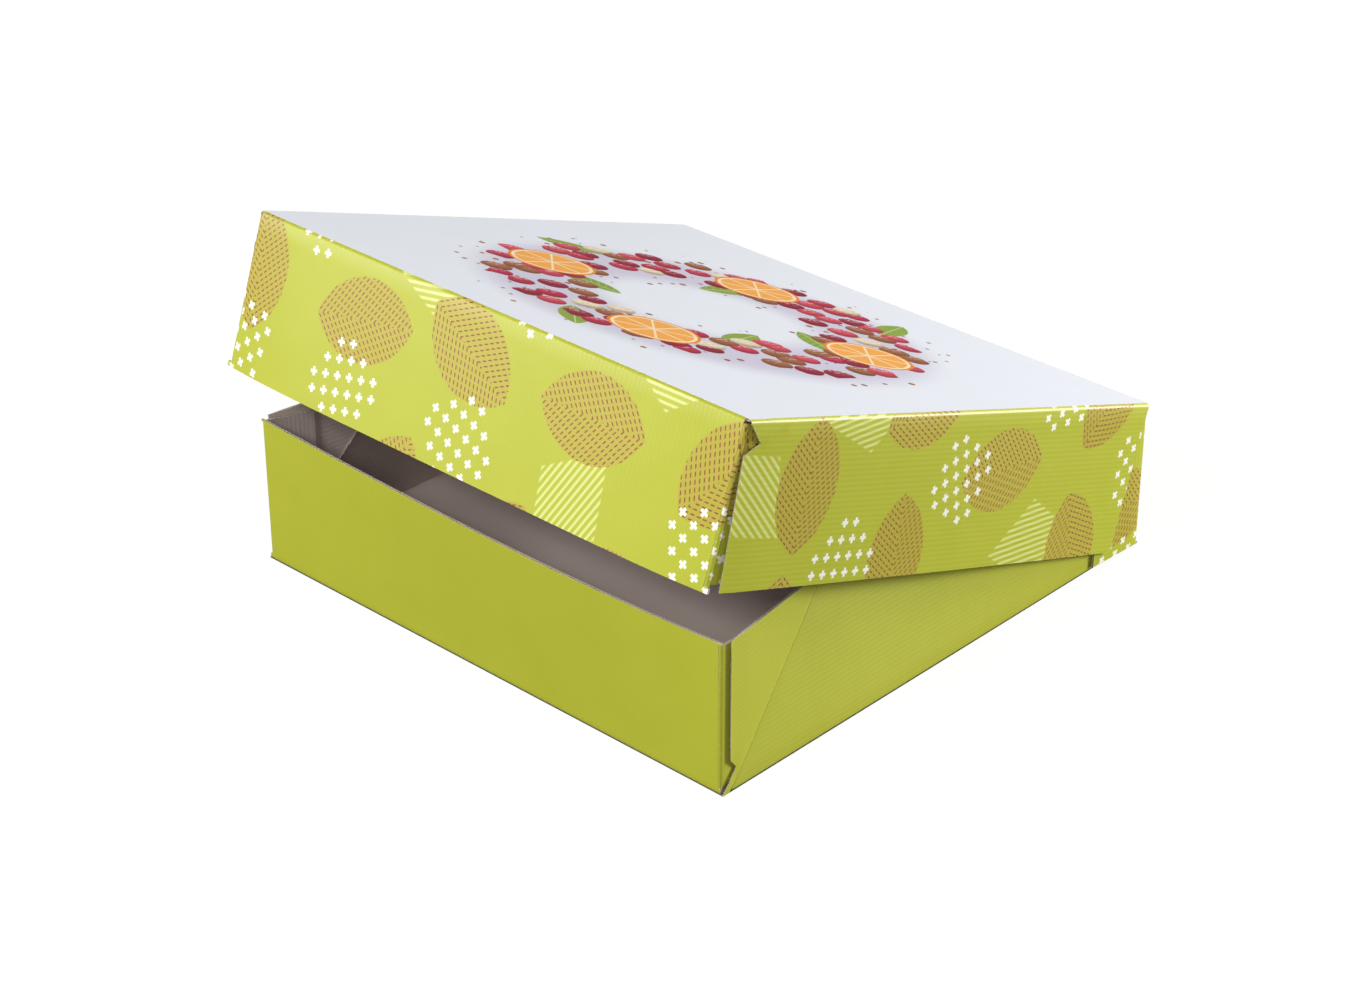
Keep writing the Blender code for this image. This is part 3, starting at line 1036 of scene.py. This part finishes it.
def makeFrontGlue():
    # the glued strip follows the corner as it leans in
    low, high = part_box("front_glue_right")
    start, end = gusset["glueStart"], gusset["glueEnd"]
    outline = [(start, low.z), (end, low.z), (end, high.z), (start, high.z)]
    sheet = layBlank("front_glue_strip_right", outline)
    bowSheet(sheet, leanIn)
    sheet.data.materials.append(glue)
    layer = sheet.modifiers.new("layer", "SOLIDIFY")
    layer.thickness = gusset["glueThickness"]
    layer.offset = 0
    selectOnly(sheet)
    bpy.ops.object.modifier_apply(modifier=layer.name)
    standUp(sheet, faceRight, ((low.x + high.x) / 2, walls["front"] - half, 0))
    settlePair(sheet, "tray", "glue", "front_glue")


def makeRearFlaps():
    low, high = heightsOf("rear_flap_right")
    depth = walls["rear"] - walls["front"] + board["thickness"]
    near, far = depth - half - fold, depth - trayFlap["rearWidth"]
    farLow, farHigh = low + trayFlap["footTaper"], walls["top"] - trayFlap["taper"]
    outline = [(far, farLow), (near, low), (near, high), (far, farHigh)]
    sheet = dieCut("rear_flap_board_right", outline)
    foldEdge(sheet, (near, low), (near, high), (1, 0))
    thicken(sheet, printedLime)
    markBoard(sheet, False, onBlank["rearFlap"])
    standUp(sheet, faceRight, (flapMiddle["rear"], walls["front"] - half, 0))
    settlePair(sheet, "tray", "printed_lime", "rear_flap")


makeEndWall("front", frontLift, plainLime, faceFront, "plain_lime")
makeEndWall("rear", rearLift, printedLime, faceRear, "printed_lime")
makeBottom()
makeSideWalls()
makeGussets()
makeFrontFlaps()
makeFrontGlue()
makeRearFlaps()
print("tray modelled")


# Lid, modelled closed with its crease on the origin, then swung up

def closedBox(node):
    # a lid node's lowest and highest corner with the lid shut, from the crease
    swingDown = Matrix.Rotation(-lidTilt, 4, "X") @ Matrix.Translation(-hinge)
    corners = [swingDown @ point.co for point in frame["nodes"][node].data.vertices]
    low = Vector([min(corner[axis] for corner in corners) for axis in range(3)])
    high = Vector([max(corner[axis] for corner in corners) for axis in range(3)])
    return low, high


lid = {
    "front": closedBox("lid_front_skirt")[0].y + half,
    "side": closedBox("lid_side_skirt_right")[1].x - half,
    "hem": closedBox("lid_front_skirt")[0].z,
    "rear": closedBox("lid_panel")[1].y,
    "seam": 1.4 * mm,
    "seamAtHem": 6.3 * mm,
    "notchDepth": 9.0 * mm,
    "notchTip": -8.2 * mm,
    "notchEnd": -12.5 * mm,
    "flapWidth": 24 * mm,
    "flapTaper": 4 * mm,
    "sink": 1.5 * mm,
    "sinkAtHem": 3.0 * mm,
    "sinkEnd": 5.0 * mm,
    "frontBow": 3.6 * mm,
    "frontBowPower": 6,
    "sideBow": 1.2 * mm,
    "sideBowReach": 1.15,  # of the side's length
    "sideBowPower": 0.8,
    "sinkRows": (0.06, 0.15, 0.3, 0.5, 0.7, 0.85),
}


def lidFrontLift(along, up):
    # the skirt flares out towards its free hem and turns in sharply at its ends
    across = max(0.0, 1 - abs(along / flapMiddle["lid"]) ** lid["frontBowPower"])
    drop = shareAlong(-up, 0, -lid["hem"])
    return lid["frontBow"] * across * drop


def lidSideLift(along, up):
    length = (lid["rear"] - lid["front"]) * lid["sideBowReach"]
    across = math.sin(math.pi * shareAlong(along, 0, length)) ** lid["sideBowPower"]
    return lid["sideBow"] * across * shareAlong(-up, 0, -lid["hem"])


def makeLidPanel():
    across, front = lid["side"] - fold, lid["front"] + fold
    outline = [(-across, front), (across, front), (across, lid["rear"]), (-across, lid["rear"])]
    sheet = dieCut("lid_board", outline)
    thicken(sheet, lidWhite)
    markBoard(sheet, False, (0, 0))
    standUp(sheet, lying, (0, 0, 0), True)
    settle(sheet, "lid", "lid_white", "lid_panel")


def makeLidFront():
    low, high = closedBox("lid_flap_right")[0].z, closedBox("lid_flap_right")[1].z
    outline = tabbedWall(lid["side"], flapMiddle["lid"] - fold, lid["hem"], -fold, low, high)
    sheet = dieCut("lid_front_board", outline)
    foldEdge(sheet, (-lid["side"], -fold), (lid["side"], -fold), (0, 1))
    bowSheet(sheet, lidFrontLift)
    thicken(sheet, printedLime)
    markBoard(sheet, False, (0, lid["front"]))
    standUp(sheet, faceFront, (0, lid["front"], 0), True)
    settle(sheet, "lid", "printed_lime", "lid_front_skirt")


def makeLidSides():
    rearEnd = lid["rear"] - lid["front"] + half
    topStart = lid["notchDepth"] * (half + fold) / (half - lid["notchTip"])
    outline = [
        (lid["seamAtHem"], lid["hem"]),
        (rearEnd, lid["hem"]),
        (rearEnd, -fold),
        (topStart, -fold),
        (lid["notchDepth"], lid["notchTip"]),
        (lid["seam"], lid["notchEnd"]),
    ]
    inset = board["crushWidth"]
    crushed = ((lid["seamAtHem"] + inset, lid["hem"]), (lid["seam"] + inset, lid["notchEnd"]))
    sheet = dieCut("lid_side_board_right", outline, [crushed])
    crushCut(sheet, lid["notchDepth"] + mm)
    foldEdge(sheet, (topStart, -fold), (rearEnd, -fold), (0, 1))
    bowSheet(sheet, lidSideLift)
    thicken(sheet, printedLime)
    markBoard(sheet, True, (lid["side"], lid["front"]), True)
    standUp(sheet, faceRight, (lid["side"], lid["front"] - half, 0), True)
    settlePair(sheet, "lid", "printed_lime", "lid_side_skirt")


def lidFlapLift(along, up):
    # the flap sinks in behind the seam, so that the seam reads as a dark gap
    sunk = shareAlong(along, half + fold, lid["sinkEnd"])
    drop = shareAlong(-up, -lid["notchEnd"], -lid["hem"])
    depth = lid["sink"] + (lid["sinkAtHem"] - lid["sink"]) * drop
    return -depth * math.sin(math.pi * math.sqrt(sunk))


def makeLidFlaps():
    low, high = closedBox("lid_flap_right")[0].z, closedBox("lid_flap_right")[1].z
    near, far, taper = half + fold, lid["flapWidth"], lid["flapTaper"]
    outline = [(near, low), (far, low + taper), (far, high - taper), (near, high)]
    creases = [near + share * (lid["sinkEnd"] - near) for share in lid["sinkRows"]]
    sheet = dieCut("lid_flap_board_right", outline, [((crease, low), (crease, high)) for crease in creases])
    foldEdge(sheet, (near, low), (near, high), (-1, 0))
    bowSheet(sheet, lidFlapLift)
    thicken(sheet, printedLime)
    markBoard(sheet, False, (lid["side"], lid["front"]))
    standUp(sheet, faceRight, (flapMiddle["lid"], lid["front"] - half, 0), True)
    settlePair(sheet, "lid", "printed_lime", "lid_flap")


hingeRoll = {
    "lap": 0.4 * mm,  # straight strip below the roll
    "steps": 8,
}


def makeHinge():
    # the crushed board that rolls from the rear wall's top into the lid
    reach = -lid["rear"]
    turn = math.pi / 2 + lidTilt
    radius = reach / math.tan(turn / 2)
    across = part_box("rear_wall")[1].x
    foot = hinge.z - reach
    start = foot - hingeRoll["lap"]
    outline = [(-across, start), (across, start), (across, foot), (-across, foot)]
    sheet = dieCut("hinge_board", outline)

    def isOnFoot(point):
        return abs(point.y - foot) < touching

    curlEdge(sheet, isOnFoot, hingeRoll["steps"], turn, (0, foot, -radius), (1, 0, 0))
    thicken(sheet, printedLime)
    markBoard(sheet, False, onBlank["rear"])
    standUp(sheet, faceRear, (0, walls["rear"], 0))
    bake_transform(sheet)
    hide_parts("lid_hinge_crease")


makeLidPanel()
makeLidFront()
makeLidSides()
makeLidFlaps()
makeHinge()
for name, node in frame["nodes"].items():
    if "glue" in name:
        node.data.materials.clear()
        node.data.materials.append(glue)
print("lid modelled")


# Studio

studio = {
    "azimuth": math.radians(43.118),
    "elevation": math.radians(29.121),
    "distance": 1.2753,
    "target": Vector((-0.0142, 0, 0.0222)),
    "lens": 83.02,
    "sensor": 36,
    "world": 0.22,
    "lampAim": Vector((0, 0, 0.06)),
    "floorSize": 12,
    "floorDrop": 0.0002,
    "floorTone": "#606060",
    "floorGlow": (0.9, 1.0),  # near the box and away from it
    "glowBand": (0.3, 1.0),
}
softboxes = {
    "key_softbox": {"place": Vector((-0.95, -0.95, 0.62)), "power": 10, "size": 0.55},
    "front_softbox": {"place": Vector((0.05, -1.2, 0.98)), "power": 12, "size": 0.24},
    "fill_softbox": {"place": Vector((0.85, -0.95, 0.74)), "power": 4, "size": 0.3},
    "right_softbox": {"place": Vector((0.84, 1.18, 0.22)), "power": 23, "size": 0.4},
    "rear_softbox": {"place": Vector((0.5, 1.2, 0.95)), "power": 9, "size": 0.6},
}


def aim(thing, target):
    thing.rotation_euler = (target - thing.location).to_track_quat("-Z", "Y").to_euler()


def addCamera():
    lens = bpy.data.cameras.new("camera")
    lens.lens = studio["lens"]
    lens.sensor_width = studio["sensor"]
    camera = bpy.data.objects.new("camera", lens)
    bpy.context.scene.collection.objects.link(camera)
    level = math.cos(studio["elevation"])
    azimuth = studio["azimuth"]
    back = Vector((math.sin(azimuth) * level, -math.cos(azimuth) * level, math.sin(studio["elevation"])))
    camera.location = studio["target"] + back * studio["distance"]
    aim(camera, studio["target"])
    bpy.context.scene.camera = camera


def addSoftbox(name, softbox):
    light = bpy.data.lights.new(name, "AREA")
    light.energy = softbox["power"]
    light.size = softbox["size"]
    lamp = bpy.data.objects.new(name, light)
    bpy.context.scene.collection.objects.link(lamp)
    lamp.location = softbox["place"]
    aim(lamp, studio["lampAim"])


def addFloor():
    bpy.ops.object.select_all(action="DESELECT")
    bpy.ops.mesh.primitive_plane_add(size=studio["floorSize"], location=(0, 0, -studio["floorDrop"]))
    floor = bpy.context.object
    floor.name = "studio_floor"
    material, tree, shader = newMaterial("matt_white_paper_sweep", {
        "Base Color": hexColour(studio["floorTone"]), "Roughness": 0.95, "Specular IOR Level": 0.0})
    seen = addNode(tree, "LightPath").outputs["Is Camera Ray"]
    own = addNode(tree, "TexCoord").outputs["Object"]
    reach = addNode(tree, "VectorMath", {"operation": "LENGTH"}, {0: own}).outputs["Value"]
    start, end = studio["glowBand"]
    near, far = studio["floorGlow"]
    glow = addNode(tree, "MapRange", {"interpolation_type": "SMOOTHSTEP"}, {
        0: reach, 1: start, 2: end, 3: near, 4: far})
    size = addNode(tree, "VectorMath", {"operation": "ABSOLUTE"}, {0: own})
    axes = addNode(tree, "SeparateXYZ", {}, {0: size})
    away = addNode(tree, "Math", {"operation": "MAXIMUM"}, {0: axes.outputs[0], 1: axes.outputs[1]})
    inTheOpen = addNode(tree, "Math", {"operation": "GREATER_THAN"}, {0: away, 1: walls["side"]})
    glow = overlap(tree, overlap(tree, seen, inTheOpen), glow)
    white = addNode(tree, "Emission", {}, {"Color": (1, 1, 1, 1), "Strength": glow})
    lit = addNode(tree, "AddShader", {}, {0: shader.outputs[0], 1: white})
    tree.links.new(lit.outputs[0], tree.nodes["Material Output"].inputs[0])
    floor.data.materials.append(material)


def addWorld():
    world = bpy.data.worlds.new("soft_white_studio")
    bpy.context.scene.world = world
    world.use_nodes = True
    tree = world.node_tree
    path = addNode(tree, "LightPath")
    seen = addNode(tree, "Math", {"operation": "MAXIMUM"}, {
        0: path.outputs["Is Camera Ray"], 1: path.outputs["Is Transmission Ray"]})
    strength = grade(tree, seen, (0.0, 1.0), (studio["world"], 1.0))
    sky = tree.nodes["Background"]
    sky.inputs["Color"].default_value = (1, 1, 1, 1)
    tree.links.new(strength.outputs[0], sky.inputs["Strength"])


addCamera()
addWorld()
addFloor()
for name, softbox in softboxes.items():
    addSoftbox(name, softbox)
bpy.context.scene.view_settings.view_transform = "Standard"
print("studio set")
